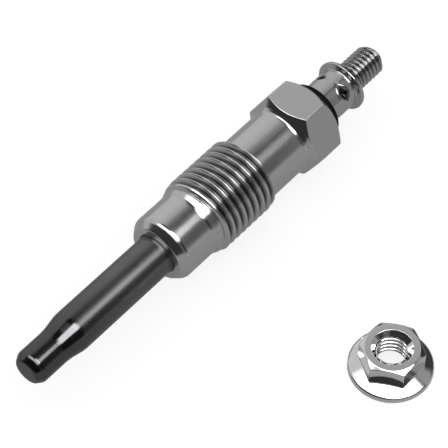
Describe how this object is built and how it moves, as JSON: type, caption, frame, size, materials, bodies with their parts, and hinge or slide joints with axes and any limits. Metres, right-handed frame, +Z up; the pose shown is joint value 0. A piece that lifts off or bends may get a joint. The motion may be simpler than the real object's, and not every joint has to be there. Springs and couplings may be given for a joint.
{
  "type": "diesel glow plug",
  "caption": "Pencil-type diesel glow plug with screw-in housing, hexagon, metal glow tube and crimped terminal, with its flanged terminal nut beside it.",
  "frame": {"origin": "on the plug's axis, where the sealing cone meets the pilot", "axes": "+X along the plug towards the terminal stud, +Z up with the plug lying level on one flat of its hexagon and on its thread, 6 mm below the origin"},
  "size_m": [0.0745, 0.0467, 0.012],
  "materials": {
    "plated_steel": "bright plated steel, satin on the forged hexagon",
    "dark_tube": "dark gunmetal, smooth satin gloss with fine drawing lines",
    "terminal_steel": "bright plated steel",
    "nut_steel": "bright polished plated steel",
    "black_plastic": "matt black moulded plastic",
    "black_rubber": "matt black rubber",
    "coil_wire": "drawn resistance wire",
    "magnesia": "packed white powder"
  },
  "bodies": {
    "root": {"housing": "plated_steel", "glow_tube": "dark_tube", "heating_coil": "coil_wire", "regulating_coil": "coil_wire", "insulating_powder": "magnesia", "tube_seal": "black_rubber", "connecting_rod": "terminal_steel", "body_seal": "black_rubber", "insulating_bush": "black_plastic", "round_nut": "terminal_steel", "flange_nut": "nut_steel"}
  },
  "joints": []
}
